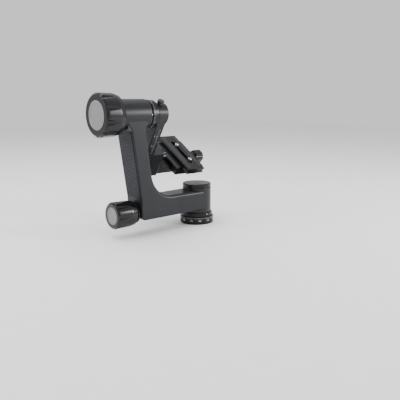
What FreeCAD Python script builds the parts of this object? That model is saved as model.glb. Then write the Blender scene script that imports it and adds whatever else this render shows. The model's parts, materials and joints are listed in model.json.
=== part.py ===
"""Gimbal tripod head: an L-shaped frame that pans on a base, and a swing arm with a lens cradle.

Millimetres. The origin is the centre of the base's bottom face, on the pan axis, with +Z up.
The tilt axis runs along X. The swing arm and all it carries are drawn hanging straight down from
the tilt axis, and their Placement turns them to the tilt at which the head is stored.
"""
import FreeCAD, Part
import math
import os
import Sketcher

SHEET = "Sizes"

SIZES = dict(
    # Fits and clearances
    press_gap=0.02,
    running_gap=0.05,
    slide_gap=0.15,
    body_gap=0.35,
    # Base, spindle and pan bearings
    base_radius=30.0,
    base_height=12.9,
    base_edge=1.2,
    tripod_thread_radius=3.97,
    tripod_thread_depth=11.0,
    index_ring_radius=30.0,
    index_ring_wall=3.0,
    index_ring_height=9.6,
    spindle_radius=10.0,
    spindle_flange_radius=18.0,
    spindle_flange_height=4.0,
    brake_drum_radius=13.0,
    brake_drum_height=11.0,
    pan_bearing_radius=16.0,
    pan_bearing_width=7.0,
    pan_nut_radius=14.5,
    pan_nut_height=5.0,
    base_screw_circle=13.6,
    base_screw_radius=2.0,
    # Frame
    skirt_radius=27.5,
    skirt_height=7.0,
    housing_radius=25.4,
    housing_top=64.0,
    cap_height=6.5,
    cap_groove=1.0,
    frame_width=43.6,
    beam_bottom=25.6,
    beam_top=60.0,
    upright_outer=134.5,
    upright_thickness=26.9,
    upright_lean=8.0,
    inner_corner=42.0,
    neck_length=62.0,
    inner_edge_round=5.0,
    outer_edge_round=2.0,
    heel_round=7.0,
    skirt_relief=6.0,
    skirt_relief_height=8.0,
    tube_flare=10.0,
    tube_flare_low=22.5,
    tube_flare_high=8.0,
    tube_flare_round=16.0,
    grip_width=37.0,
    grip_depth=1.2,
    grip_pitch=2.2,
    # Tilt axis, tube and shaft
    throat_height=123.1,
    rest_tilt=32.0,
    tube_radius=24.25,
    tube_left=164.4,
    tube_right=109.8,
    tube_edge=4.5,
    tilt_bearing_radius=17.5,
    tilt_bearing_width=10.0,
    tilt_shaft_radius=8.5,
    tilt_index_radius=23.2,
    tilt_index_width=12.6,
    # Tilt knob
    tilt_knob_radius=34.1,
    tilt_knob_length=34.6,
    tilt_knob_edge=3.2,
    tilt_knob_disc_radius=22.4,
    tilt_knob_flutes=10,
    tilt_flute_radius=9.0,
    tilt_flute_depth=3.4,
    knob_disc_thickness=1.6,
    knob_disc_sunk=0.4,
    knob_insert_end=22.0,
    knob_insert_wall=4.0,
    tilt_stud_radius=6.0,
    # Pan lock
    pan_lock_height=37.0,
    pan_knob_radius=21.8,
    pan_knob_length=38.0,
    pan_knob_edge=2.4,
    pan_knob_disc_radius=14.2,
    pan_knob_flutes=8,
    pan_flute_radius=8.0,
    pan_flute_depth=2.0,
    pan_collar_length=5.6,
    pan_collar_radius=17.5,
    pan_rod_radius=4.0,
    brake_shoe_length=5.0,
    lock_insert_length=14.0,
    # Swing arm
    arm_thickness=14.0,
    arm_width=36.0,
    arm_left=94.0,
    arm_length=120.0,
    rail_thickness=4.5,
    rail_width=30.0,
    rail_neck=24.0,
    arm_edge=0.8,
    hub_screw_radius=7.0,
    hub_screw_sink=7.5,
    hub_thread_radius=4.0,
    hub_thread_length=18.0,
    thumb_screw_radius=5.5,
    thumb_screw_height=7.0,
    thumb_stud_radius=2.5,
    end_stop_thickness=2.4,
    end_stop_reach=2.0,
    stop_screw_radius=2.6,
    stop_screw_head=1.6,
    # Cradle
    cradle_lift=5.0,
    cradle_height=46.0,
    cradle_leg_thickness=18.5,
    cradle_cheek=3.6,
    shelf_thickness=10.0,
    shelf_step=5.0,
    cradle_reach=24.0,
    height_knob_radius=10.5,
    height_knob_length=17.0,
    height_knob_rise=28.5,
    height_stud_radius=3.0,
    gib_width=16.0,
    gib_height=30.0,
    gib_thickness=2.5,
    # Clamp
    clamp_half_width=31.0,
    clamp_half_length=37.5,
    clamp_base=11.0,
    clamp_lip=4.5,
    jaw_split=9.0,
    jaw_tongue=9.0,
    jaw_tongue_drop=4.0,
    clamp_screw_radius=3.0,
    clamp_screw_drop=5.4,
    clamp_screw_reach=24.0,
    clamp_knob_radius=12.5,
    clamp_knob_length=22.0,
    guide_pin_radius=2.0,
    guide_pin_spacing=46.0,
    guide_pin_length=32.0,
    guide_pin_seat=4.3,
    mount_screw_radius=1.6,
    mount_head_radius=3.0,
    mount_head_height=3.0,
    mount_screw_length=14.0,
    mount_screw_left=14.0,
    mount_screw_spread=14.2,
    # Quick-release plate
    plate_width=38.0,
    plate_length=100.0,
    plate_thickness=10.2,
    plate_offset=2.0,
    plate_lip=2.0,
    plate_bevel=2.6,
    plate_slot_width=6.8,
    plate_slot_length=66.0,
    pad_width=8.0,
    pad_thickness=1.0,
    camera_screw_radius=3.175,
    camera_screw_neck=2.6,
    camera_screw_reach=5.2,
    camera_screw_head=5.5,
    camera_screw_front=18.0,
    camera_screw_rear=26.0,
    counterbore_depth=4.6,
    plate_stop_radius=2.4,
    plate_stop_reach=2.2,
    plate_stop_inset=3.5,
    stop_shank_radius=1.5,
    # Hexagon sockets, across their flats
    large_hex=6.0,
    camera_hex=4.0,
    medium_hex=2.5,
    small_hex=2.0,
)

doc = FreeCAD.newDocument("GimbalHead")
made = []


class Size:
    """A length or angle: its number now, and the spreadsheet expression that gives it."""

    def __init__(self, value, text):
        self.value = value
        self.text = text

    def __add__(self, other):
        other = size(other)
        return Size(self.value + other.value, f"({self.text} + {other.text})")

    def __sub__(self, other):
        other = size(other)
        return Size(self.value - other.value, f"({self.text} - {other.text})")

    def __mul__(self, other):
        other = size(other)
        return Size(self.value * other.value, f"({self.text} * {other.text})")

    def __truediv__(self, other):
        other = size(other)
        return Size(self.value / other.value, f"({self.text} / {other.text})")

    def __neg__(self):
        return Size(-self.value, f"(-1 * {self.text})")

    def __radd__(self, other):
        return size(other) + self

    def __rsub__(self, other):
        return size(other) - self

    def __rmul__(self, other):
        return size(other) * self


def size(value):
    """A Size as it is, or a plain number as a constant one."""
    return value if isinstance(value, Size) else Size(float(value), repr(float(value)))


def trig(name, angle):
    """A sine, cosine or tangent of an angle in degrees."""
    return Size(getattr(math, name)(math.radians(angle.value)), f"{name}({angle.text})")


def make_sheet():
    """The spreadsheet with every driving dimension, and the same dimensions as Sizes."""
    sheet = doc.addObject("Spreadsheet::Sheet", SHEET)
    table = {}
    for row, (alias, value) in enumerate(SIZES.items(), start=1):
        sheet.set(f"A{row}", alias)
        sheet.set(f"B{row}", str(value))
        sheet.setAlias(f"B{row}", alias)
        table[alias] = Size(float(value), f"{SHEET}.{alias}")
    doc.recompute()
    return type("Table", (), table)


d = make_sheet()


def new_body(name, label):
    """An empty sub-part with its own label."""
    body = doc.addObject("PartDesign::Body", name)
    body.Label = label
    made.append(body)
    return body


def place(part, x=0, y=0, z=0, tilted=False, turn=None):
    """Puts a sub-part at a point of the row frame, or at a point of the tilted frame."""
    if tilted:
        sine = trig("sin", d.rest_tilt)
        cosine = trig("cos", d.rest_tilt)
        y, z = size(y) * cosine - size(z) * sine, d.tilt_height + size(y) * sine + size(z) * cosine
        part.Placement = FreeCAD.Placement(FreeCAD.Vector(), FreeCAD.Rotation(FreeCAD.Vector(1, 0, 0), 1))
        part.setExpression("Placement.Rotation.Angle", d.rest_tilt.text)
    if turn:
        axis, angle = turn
        part.Placement = FreeCAD.Placement(FreeCAD.Vector(), FreeCAD.Rotation(FreeCAD.Vector(*axis), 1))
        part.setExpression("Placement.Rotation.Angle", angle.text)
    for letter, value in zip("xyz", (x, y, z)):
        part.setExpression(f"Placement.Base.{letter}", size(value).text)


def origin_feature(body, role):
    return [f for f in body.Origin.OriginFeatures if f.Role == role][0]


def new_sketch(body, plane, name, offset=0):
    """A sketch on an origin plane of its own body, moved along that plane's normal."""
    sketch = body.newObject("Sketcher::SketchObject", name)
    sketch.AttachmentSupport = [(origin_feature(body, plane + "_Plane"), "")]
    sketch.MapMode = "FlatFace"
    sketch.setExpression("AttachmentOffset.Base.z", size(offset).text)
    return sketch


def hold(sketch, kind, *where, value):
    """Adds one dimension and binds it to its expression."""
    number = sketch.addConstraint(Sketcher.Constraint(kind, *where, value.value))
    sketch.renameConstraint(number, f"{kind}{number}")
    sketch.setExpression(f"Constraints.{kind}{number}", value.text)


def outline(sketch, points):
    """A closed outline through points (a, b) or (a, b, corner radius), each held by dimensions."""
    corners = [(size(p[0]), size(p[1]), p[2] if len(p) > 2 else None) for p in points]
    first = sketch.GeometryCount
    count = len(corners)
    for index, (a, b, _) in enumerate(corners):
        c, e, _ = corners[(index + 1) % count]
        line = Part.LineSegment(FreeCAD.Vector(a.value, b.value, 0), FreeCAD.Vector(c.value, e.value, 0))
        sketch.addGeometry(line, False)
    for index in range(count):
        after = first + (index + 1) % count
        sketch.addConstraint(Sketcher.Constraint("Coincident", first + index, 2, after, 1))
    for index, (a, b, _) in enumerate(corners):
        hold(sketch, "DistanceX", -1, 1, first + index, 1, value=a)
        hold(sketch, "DistanceY", -1, 1, first + index, 1, value=b)
    for index, (_, _, radius) in enumerate(corners):
        if radius is not None:
            arc = sketch.GeometryCount
            sketch.fillet(first + index, 1, size(radius).value, True, True)
            hold(sketch, "Radius", arc, value=size(radius))


def circle(sketch, a, b, radius):
    """A circle held by its centre and radius."""
    a, b, radius = size(a), size(b), size(radius)
    number = sketch.GeometryCount
    centre = FreeCAD.Vector(a.value, b.value, 0)
    sketch.addGeometry(Part.Circle(centre, FreeCAD.Vector(0, 0, 1), radius.value), False)
    hold(sketch, "DistanceX", -1, 1, number, 3, value=a)
    hold(sketch, "DistanceY", -1, 1, number, 3, value=b)
    hold(sketch, "Radius", number, value=radius)


def hexagon(sketch, a, b, flats):
    """A hexagon socket's outline, centred at (a, b), from its width across the flats."""
    reach = size(flats) / math.sqrt(3)
    turns = [math.radians(60 * step) for step in range(6)]
    outline(sketch, [(size(a) + reach * math.cos(turn), size(b) + reach * math.sin(turn)) for turn in turns])


def box_outline(sketch, low, high, corner=None):
    """A rectangle from its low to its high corner, its corners rounded alike."""
    round_by = () if corner is None else (corner,)
    a, b = low
    c, e = high
    outline(sketch, [(a, b) + round_by, (c, b) + round_by, (c, e) + round_by, (a, e) + round_by])


def revolve(body, points, axis="V", cut=False, name="Turned"):
    """Turns an outline in the XZ plane about X (H) or Z (V)."""
    sketch = new_sketch(body, "XZ", name + "Outline")
    outline(sketch, points)
    kind = "PartDesign::Groove" if cut else "PartDesign::Revolution"
    feature = body.newObject(kind, name)
    feature.Profile = sketch
    feature.ReferenceAxis = (sketch, [axis + "_Axis"])
    feature.Angle = 360
    return feature


def pad(body, sketch, length, midplane=False, name="Pad", reverse=False):
    feature = body.newObject("PartDesign::Pad", name)
    feature.Profile = sketch
    feature.setExpression("Length", size(length).text)
    feature.Midplane = midplane
    feature.Reversed = reverse
    return feature


def pocket(body, sketch, length=None, midplane=False, name="Pocket", reverse=False):
    """A cut by a length, or right through where no length is given."""
    feature = body.newObject("PartDesign::Pocket", name)
    feature.Profile = sketch
    feature.Midplane = midplane
    feature.Reversed = reverse
    if length is None:
        feature.Type = "ThroughAll"
    else:
        feature.setExpression("Length", size(length).text)
    return feature


def polar(body, feature, axis, count, name="Around"):
    """Copies a feature evenly round an origin axis."""
    pattern = body.newObject("PartDesign::PolarPattern", name)
    pattern.Originals = [feature]
    pattern.Axis = (origin_feature(body, axis + "_Axis"), [""])
    pattern.Angle = 360
    pattern.setExpression("Occurrences", size(count).text)
    body.Tip = pattern
    return pattern


def linear(body, feature, axis, length, count, name="Along"):
    """Copies a feature along an origin axis, over a whole length."""
    pattern = body.newObject("PartDesign::LinearPattern", name)
    pattern.Originals = [feature]
    pattern.Direction = (origin_feature(body, axis + "_Axis"), [""])
    pattern.setExpression("Length", size(length).text)
    pattern.Occurrences = count
    body.Tip = pattern
    return pattern


def edge_names(shape, wanted):
    """Names of the edges whose ends and middle all satisfy a test."""
    names = []
    for number, edge in enumerate(shape.Edges, start=1):
        middle = edge.valueAt((edge.FirstParameter + edge.LastParameter) / 2)
        if wanted(edge, middle):
            names.append(f"Edge{number}")
    return names


def soften(body, wanted, radius, kind="Fillet", name="Soft"):
    """Fillets or chamfers the edges of the body's last feature that pass a test."""
    doc.recompute()
    base = body.Tip
    names = edge_names(base.Shape, wanted)
    feature = body.newObject("PartDesign::" + kind, name)
    feature.Base = (base, names)
    feature.setExpression("Radius" if kind == "Fillet" else "Size", size(radius).text)
    body.Tip = feature
    return feature


def turned(name, label, points, axis="V", x=0, y=0, z=0, tilted=False):
    """A sub-part that is one turned shape."""
    body = new_body(name, label)
    revolve(body, points, axis)
    place(body, x, y, z, tilted)
    return body


def ring_outline(inner, outer, low, high, chamfer=None):
    """A ring's section, (radius, height), with its outer corners chamfered."""
    inner, outer, low, high = size(inner), size(outer), size(low), size(high)
    if chamfer is None:
        return [(inner, low), (outer, low), (outer, high), (inner, high)]
    chamfer = size(chamfer)
    return [
        (inner, low),
        (outer - chamfer, low),
        (outer, low + chamfer),
        (outer, high - chamfer),
        (outer - chamfer, high),
        (inner, high),
    ]


def along_x(points):
    """The same section for a piece turned about X: (height, radius) becomes (x, radius)."""
    return [(p[1], p[0]) + tuple(p[2:]) for p in points]


# Places worked out from the driving dimensions
cap_bottom = d.housing_top + d.cap_groove
d.tilt_height = cap_bottom + d.cap_height + d.throat_height
d.cradle_bottom = d.arm_length - d.cradle_lift
d.cradle_top = d.cradle_bottom - d.cradle_height
d.cradle_seat = d.cradle_bottom - d.shelf_thickness
d.cradle_shoulder = d.cradle_seat - d.shelf_step
d.height_knob_depth = d.cradle_bottom - d.height_knob_rise
d.clamp_floor = d.cradle_seat - d.clamp_base
d.clamp_jaw_top = d.clamp_floor - d.clamp_lip
d.clamp_screw_depth = d.clamp_floor + d.clamp_screw_drop
skirt_bottom = d.base_height + d.body_gap
skirt_top = skirt_bottom + d.skirt_height
flange_top = d.base_height + d.spindle_flange_height
lower_bearing_bottom = flange_top + d.spindle_flange_height
drum_bottom = d.pan_lock_height - d.brake_drum_height / 2
upper_bearing_bottom = d.housing_top - d.pan_nut_height - d.pan_bearing_width
spindle_top = d.housing_top - d.body_gap
lean = trig("tan", d.upright_lean)
upright_inner = d.upright_outer - d.upright_thickness
tube_middle = (d.tube_left + d.tube_right) / 2
tilt_index_left = d.tube_right - d.body_gap
tilt_index_right = tilt_index_left - d.tilt_index_width
arm_right = d.arm_left - d.arm_thickness
rail_right = arm_right - d.rail_thickness
tilt_knob_right = d.tube_left + d.body_gap
tilt_knob_left = tilt_knob_right + d.tilt_knob_length
pan_collar_left = d.upright_outer + d.pan_collar_length
pan_knob_right = pan_collar_left + d.body_gap
pan_knob_left = pan_knob_right + d.pan_knob_length
leg_left = rail_right - d.slide_gap
leg_right = leg_left - d.cradle_leg_thickness
height_knob_left = leg_right - d.body_gap
plate_bottom = d.clamp_floor - d.slide_gap
plate_top = plate_bottom - d.plate_thickness
jaw_right = d.clamp_half_width
clamp_knob_left = jaw_right + d.body_gap
clamp_seat = -d.cradle_seat + d.press_gap
tongue_right = d.jaw_split + d.jaw_tongue
tongue_bottom = -d.clamp_floor - d.jaw_tongue_drop
lip_bottom = -d.clamp_floor + d.plate_lip + d.slide_gap * 2
lip_rise = -d.clamp_jaw_top - lip_bottom
mount_head_bottom = -d.cradle_bottom + 0.6


def upright_x(height):
    """Distance of the upright's outer face from the pan axis at a height."""
    return d.upright_outer + (height - d.beam_top) * lean


def make_base():
    body = new_body("PanBase", "pan_base")
    core = d.index_ring_radius - d.index_ring_wall
    ring_bottom = d.base_height - d.index_ring_height
    revolve(
        body,
        [
            (d.tripod_thread_radius, 0),
            (d.base_radius - d.base_edge, 0),
            (d.base_radius, d.base_edge),
            (d.base_radius, ring_bottom),
            (core, ring_bottom),
            (core, d.base_height),
            (0, d.base_height),
            (0, d.tripod_thread_depth),
            (d.tripod_thread_radius, d.tripod_thread_depth),
        ],
    )
    holes = new_sketch(body, "XY", "ScrewHoles")
    circle(holes, d.base_screw_circle, 0, d.base_screw_radius + d.slide_gap)
    doc.recompute()
    hole = pocket(body, holes, midplane=True, name="ScrewHole")
    polar(body, hole, "Z", 4, "ScrewCircle")
    sink = new_sketch(body, "XY", "ScrewSinks")
    circle(sink, d.base_screw_circle, 0, d.base_screw_radius * 2)
    sunk = pocket(body, sink, d.base_screw_radius * 2, name="ScrewSink", reverse=True)
    polar(body, sunk, "Z", 4, "SinkCircle")
    place(body)


def make_base_screws():
    """Four sunk screws hold the spindle's flange on the base."""
    body = new_body("BaseScrews", "base_screws")
    for index in range(4):
        angle = math.radians(90 * index)
        across = d.base_screw_circle * math.cos(angle)
        along = d.base_screw_circle * math.sin(angle)
        sketch = new_sketch(body, "XY", f"Head{index}", d.knob_disc_sunk)
        circle(sketch, across, along, d.base_screw_radius * 1.9)
        pad(body, sketch, d.base_screw_radius * 1.5, name=f"HeadPad{index}")
        shank = new_sketch(body, "XY", f"Shank{index}", d.knob_disc_sunk)
        circle(shank, across, along, d.base_screw_radius)
        pad(body, shank, flange_top - 1.0, name=f"ShankPad{index}")
    for index in range(4):
        angle = math.radians(90 * index)
        socket = new_sketch(body, "XY", f"Socket{index}", d.knob_disc_sunk)
        hexagon(
            socket,
            d.base_screw_circle * math.cos(angle),
            d.base_screw_circle * math.sin(angle),
            d.medium_hex,
        )
        doc.recompute()
        pocket(body, socket, d.base_screw_radius, name=f"SocketCut{index}", reverse=True)
    place(body)


def make_base_group():
    make_base()
    ring_bottom = d.base_height - d.index_ring_height
    core = d.index_ring_radius - d.index_ring_wall + d.press_gap
    turned(
        "PanIndexRing",
        "pan_index_ring",
        ring_outline(core, d.index_ring_radius, ring_bottom + d.press_gap, d.base_height, 0.5),
    )
    spindle = new_body("PanSpindle", "pan_spindle")
    revolve(
        spindle,
        [
            (0, d.base_height + d.press_gap),
            (d.spindle_flange_radius, d.base_height + d.press_gap),
            (d.spindle_flange_radius, flange_top),
            (d.spindle_radius + 1.5, flange_top),
            (d.spindle_radius + 1.5, lower_bearing_bottom),
            (d.spindle_radius, lower_bearing_bottom),
            (d.spindle_radius, drum_bottom),
            (d.brake_drum_radius, drum_bottom, 0.6),
            (d.brake_drum_radius, drum_bottom + d.brake_drum_height, 0.6),
            (d.spindle_radius, drum_bottom + d.brake_drum_height),
            (d.spindle_radius, spindle_top),
            (0, spindle_top),
        ],
    )
    holes = new_sketch(spindle, "XY", "ScrewHoles", d.base_height)
    circle(holes, d.base_screw_circle, 0, d.base_screw_radius + d.press_gap)
    doc.recompute()
    hole = pocket(spindle, holes, d.spindle_flange_height + 1, name="ScrewHole", reverse=True)
    polar(spindle, hole, "Z", 4, "ScrewCircle")
    place(spindle)
    make_base_screws()
    turned(
        "PanNut",
        "pan_retaining_nut",
        ring_outline(
            d.spindle_radius + d.press_gap,
            d.pan_nut_radius,
            spindle_top - d.pan_nut_height + 0.6,
            spindle_top,
            0.6,
        ),
    )


def bearing_outline(inner, outer, low, high):
    """A sealed ball bearing: two rings with a sunk shield between them on each side."""
    inner, outer, low, high = size(inner), size(outer), size(low), size(high)
    wall = (outer - inner) / 4
    sunk = 0.4
    return [
        (inner, low),
        (inner + wall, low),
        (inner + wall, low + sunk),
        (outer - wall, low + sunk),
        (outer - wall, low),
        (outer, low),
        (outer, high),
        (outer - wall, high),
        (outer - wall, high - sunk),
        (inner + wall, high - sunk),
        (inner + wall, high),
        (inner, high),
    ]


def make_pan_bearings():
    inner = d.spindle_radius + d.running_gap
    outer = d.pan_bearing_radius - d.press_gap
    low = lower_bearing_bottom + d.slide_gap
    high = low + d.pan_bearing_width
    turned("PanBearingLower", "pan_bearing_lower", bearing_outline(inner, outer, low, high))
    low = upper_bearing_bottom
    high = low + d.pan_bearing_width
    turned("PanBearingUpper", "pan_bearing_upper", bearing_outline(inner, outer, low, high))


def make_frame():
    """The cast frame: beam, leaning upright, pan housing and tilt tube in one piece."""
    body = new_body("Frame", "frame")
    side = new_sketch(body, "XZ", "SideOutline")
    top = d.tilt_height
    flare_low = top - d.tube_flare_low
    flare_high = top - d.tube_flare_high
    outline(
        side,
        [
            (0, d.beam_bottom),
            (0, d.beam_top),
            (-upright_inner, d.beam_top, d.inner_corner),
            (d.upright_thickness - upright_x(flare_low), flare_low, d.tube_flare_round),
            (d.upright_thickness - upright_x(flare_low) + d.tube_flare, flare_high),
            (d.upright_thickness - upright_x(flare_low) + d.tube_flare, top),
            (-upright_x(flare_low) - d.tube_flare, top),
            (-upright_x(flare_low) - d.tube_flare, flare_high),
            (-upright_x(flare_low), flare_low, d.tube_flare_round),
            (-d.upright_outer, d.beam_top),
            (-d.upright_outer, d.beam_bottom, d.heel_round),
        ],
    )
    pad(body, side, d.frame_width, midplane=True, name="SidePad")
    neck = new_sketch(body, "XY", "NeckOutline", d.beam_bottom)
    outline(
        neck,
        [
            (-d.neck_length, -d.frame_width / 2),
            (0, -d.housing_radius),
            (0, d.housing_radius),
            (-d.neck_length, d.frame_width / 2),
        ],
    )
    pad(body, neck, d.beam_top - d.beam_bottom, name="Neck")
    doc.recompute()
    half = d.frame_width.value / 2
    inside = d.upright_thickness.value / 2

    def along_side(edge):
        """The edge runs along a side face, or along the neck where that side leads to the housing."""
        return all(abs(v.Y) > half - 1e-3 for v in edge.Vertexes) and abs(edge.BoundBox.ZLength + edge.BoundBox.XLength) > 1

    def inner_edge(edge, middle):
        below_flare = middle.z < flare_low.value + 1
        inner_side = middle.x > -upright_x(middle.z).value + inside
        return along_side(edge) and middle.z > d.beam_top.value - 1e-3 and below_flare and inner_side

    soften(body, inner_edge, d.inner_edge_round, name="InnerEdges")

    def outer_edge(edge, middle):
        outer_side = middle.x < -upright_x(middle.z).value + inside and middle.z < flare_low.value + 1
        under = middle.z < d.beam_bottom.value + 1
        return along_side(edge) and (outer_side or under)

    soften(body, outer_edge, d.outer_edge_round, name="OuterEdges")
    revolve(
        body,
        [
            (0, skirt_top),
            (d.housing_radius, skirt_top),
            (d.housing_radius, d.housing_top, 0.8),
            (0, d.housing_top),
        ],
        name="Housing",
    )
    tube = new_sketch(body, "XZ", "TubeOutline")
    outline(
        tube,
        [
            (-d.tube_left, top),
            (-d.tube_left, top + d.tube_radius, 1.2),
            (-d.tube_right, top + d.tube_radius, d.tube_edge),
            (-d.tube_right, top),
        ],
    )
    axis = Part.LineSegment(
        FreeCAD.Vector(-d.tube_left.value, top.value, 0), FreeCAD.Vector(-d.tube_right.value, top.value, 0)
    )
    number = tube.GeometryCount
    tube.addGeometry(axis, True)
    tube.addConstraint(Sketcher.Constraint("Coincident", number, 1, 0, 1))
    tube.addConstraint(Sketcher.Constraint("Coincident", number, 2, 3, 1))
    turn = body.newObject("PartDesign::Revolution", "Tube")
    turn.Profile = tube
    turn.ReferenceAxis = (tube, ["Axis0"])
    turn.Angle = 360
    doc.recompute()
    cut_frame_bores(body)
    place(body)


def cut_frame_bores(body):
    """Bearing seats, shaft bores and the pan lock's bore."""
    pan = new_sketch(body, "XY", "PanBore", d.housing_top)
    circle(pan, 0, 0, d.pan_bearing_radius)
    pocket(body, pan, name="PanBorePocket")
    relief = new_sketch(body, "XY", "SkirtRelief", skirt_top + d.skirt_relief_height)
    circle(relief, 0, 0, d.skirt_radius + d.skirt_relief)
    circle(relief, 0, 0, d.housing_radius)
    pocket(body, relief, d.skirt_height + d.skirt_relief_height, name="SkirtReliefPocket")
    seat = new_sketch(body, "YZ", "TiltBore", -d.tube_right)
    circle(seat, 0, d.tilt_height, d.tilt_bearing_radius)
    pocket(body, seat, d.tube_left - d.tube_right, name="TiltBorePocket")
    lock = new_sketch(body, "YZ", "LockBore", 0)
    circle(lock, 0, d.pan_lock_height, d.pan_rod_radius + d.running_gap)
    pocket(body, lock, d.upright_outer, name="LockBorePocket")
    insert = new_sketch(body, "YZ", "LockInsertBore", -d.upright_outer)
    circle(insert, 0, d.pan_lock_height, d.pan_rod_radius * 2)
    pocket(body, insert, d.lock_insert_length, name="LockInsertPocket", reverse=True)


def make_frame_group():
    make_frame()
    turned(
        "PanSkirt",
        "pan_skirt",
        [
            (d.spindle_flange_radius + 1.0, skirt_bottom),
            (d.skirt_radius, skirt_bottom),
            (d.skirt_radius, skirt_top - 0.8),
            (d.skirt_radius - 0.8, skirt_top),
            (d.spindle_flange_radius + 1.0, skirt_top),
        ],
    )
    turned(
        "PanCap",
        "pan_cap",
        [
            (0, d.housing_top),
            (d.pan_bearing_radius - 1.0, d.housing_top),
            (d.pan_bearing_radius - 1.0, d.housing_top - 1.2),
            (d.pan_bearing_radius - d.running_gap, d.housing_top - 1.2),
            (d.pan_bearing_radius - d.running_gap, d.housing_top),
            (d.housing_radius - 1.2, d.housing_top),
            (d.housing_radius - 1.2, cap_bottom),
            (d.housing_radius, cap_bottom),
            (d.housing_radius, cap_bottom + d.cap_height - 1.0),
            (d.housing_radius - 1.0, cap_bottom + d.cap_height),
            (0, cap_bottom + d.cap_height),
        ],
    )
    make_pan_bearings()
    shoe_left = d.brake_drum_radius + d.slide_gap
    turned(
        "PanBrakeShoe",
        "pan_brake_shoe",
        along_x(
            ring_outline(0, d.pan_rod_radius, -(shoe_left + d.brake_shoe_length), -shoe_left),
        ),
        axis="H",
        z=d.pan_lock_height,
    )
    turned(
        "PanLockInsert",
        "pan_lock_insert",
        along_x(
            ring_outline(
                d.pan_rod_radius + d.running_gap,
                d.pan_rod_radius * 2 - d.press_gap,
                -d.upright_outer,
                -(d.upright_outer - d.lock_insert_length + d.slide_gap),
            )
        ),
        axis="H",
        z=d.pan_lock_height,
    )
    turned(
        "PanLockCollar",
        "pan_lock_collar",
        [
            (-pan_collar_left, d.pan_rod_radius + d.running_gap),
            (-pan_collar_left, d.pan_collar_radius - 2.5, 1.0),
            (-pan_collar_left + 2.0, d.pan_collar_radius, 1.0),
            (-d.upright_outer - 1.2, d.pan_collar_radius, 1.0),
            (-d.upright_outer, d.pan_collar_radius - 1.5),
            (-d.upright_outer, d.pan_rod_radius + d.running_gap),
        ],
        axis="H",
        z=d.pan_lock_height,
    )
    make_tilt_bearings()
    make_grip()


def make_tilt_bearings():
    inner = d.tilt_shaft_radius + d.running_gap
    outer = d.tilt_bearing_radius - d.press_gap
    wide = d.tilt_bearing_width
    inset = 2.0
    low = -d.tube_left + inset
    section = bearing_outline(inner, outer, low, low + wide)
    turned("TiltBearingOuter", "tilt_bearing_outer", along_x(section), axis="H", z=d.tilt_height)
    high = -d.tube_right - inset
    section = bearing_outline(inner, outer, high - wide, high)
    turned("TiltBearingInner", "tilt_bearing_inner", along_x(section), axis="H", z=d.tilt_height)
    section = ring_outline(outer - 3.0, outer, low + wide, high - wide)
    turned("TiltSpacer", "tilt_bearing_spacer", along_x(section), axis="H", z=d.tilt_height)


def make_grip():
    """A ribbed rubber inlay up the outer face of the upright."""
    body = new_body("Grip", "upright_grip")
    start = d.pan_lock_height + d.pan_knob_radius + 3.0
    high = d.tilt_height - d.tube_flare_low - 4.0
    run = (high - start) / trig("cos", d.upright_lean)
    half = d.grip_width / 2
    sketch = new_sketch(body, "YZ", "StripOutline")
    box_outline(sketch, (-half, 0), (half, run), 3.0)
    pad(body, sketch, d.grip_depth, name="Strip")
    groove = new_sketch(body, "XZ", "GrooveOutline")
    deep = d.grip_depth * 0.55
    outline(groove, [(-1, 1.0), (deep, 1.6), (deep, 2.0), (-1, 2.6)])
    doc.recompute()
    cut = pocket(body, groove, midplane=True, name="Groove")
    count = int((run.value - 4.0) / d.grip_pitch.value)
    linear(body, cut, "Z", run - 4.0, count, "Grooves")
    thick = d.grip_depth / trig("cos", d.upright_lean)
    place(body, -upright_x(start) - thick - d.press_gap, 0, start, turn=((0, -1, 0), d.upright_lean))


def knob_body(name, label, radius, length, edge, disc_radius, flutes, flute_radius, flute_depth, bore):
    """A lobed knob turned about X: its face is at x = 0 and its back at x = length."""
    body = new_body(name, label)
    back = radius * 0.92
    disc_seat = d.knob_disc_thickness + d.knob_disc_sunk
    revolve(
        body,
        [
            (disc_seat, bore),
            (disc_seat, disc_radius),
            (0, disc_radius, 0.5),
            (0, radius - edge),
            (edge, radius, 1.0),
            (length * 0.72, radius * 0.985),
            (length - 1.6, back, 1.0),
            (length, back - 1.6),
            (length, bore),
        ],
        axis="H",
    )
    flute = body.newObject("PartDesign::SubtractiveCone", "Flute")
    flute.Placement = FreeCAD.Placement(FreeCAD.Vector(), FreeCAD.Rotation(FreeCAD.Vector(0, 1, 0), 90))
    flute.setExpression("Placement.Base.x", "-1")
    flute.setExpression("Placement.Base.z", (radius + flute_radius - flute_depth).text)
    flute.setExpression("Radius1", flute_radius.text)
    flute.setExpression("Radius2", (flute_radius - flute_depth * 1.3).text)
    flute.setExpression("Height", (length * 0.86).text)
    doc.recompute()
    polar(body, flute, "X", flutes, "Flutes")
    return body


def make_tilt_knob():
    radius = d.tilt_knob_radius
    bore = d.tilt_shaft_radius + d.body_gap
    body = knob_body(
        "TiltKnob",
        "tilt_knob",
        radius,
        d.tilt_knob_length,
        d.tilt_knob_edge,
        d.tilt_knob_disc_radius,
        d.tilt_knob_flutes,
        d.tilt_flute_radius,
        d.tilt_flute_depth,
        bore + d.knob_insert_wall,
    )
    place(body, -tilt_knob_left, 0, d.tilt_height)
    seat = d.knob_disc_thickness + d.knob_disc_sunk
    turned(
        "TiltKnobDisc",
        "tilt_knob_disc",
        along_x(ring_outline(0, d.tilt_knob_disc_radius - 0.1, d.knob_disc_sunk, seat, 0.3)),
        axis="H",
        x=-tilt_knob_left,
        z=d.tilt_height,
    )
    turned(
        "TiltKnobInsert",
        "tilt_knob_insert",
        along_x(
            ring_outline(
                d.tilt_stud_radius + d.running_gap,
                bore + d.knob_insert_wall - d.press_gap,
                seat + 1.0,
                d.knob_insert_end,
            )
        ),
        axis="H",
        x=-tilt_knob_left,
        z=d.tilt_height,
    )


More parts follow.
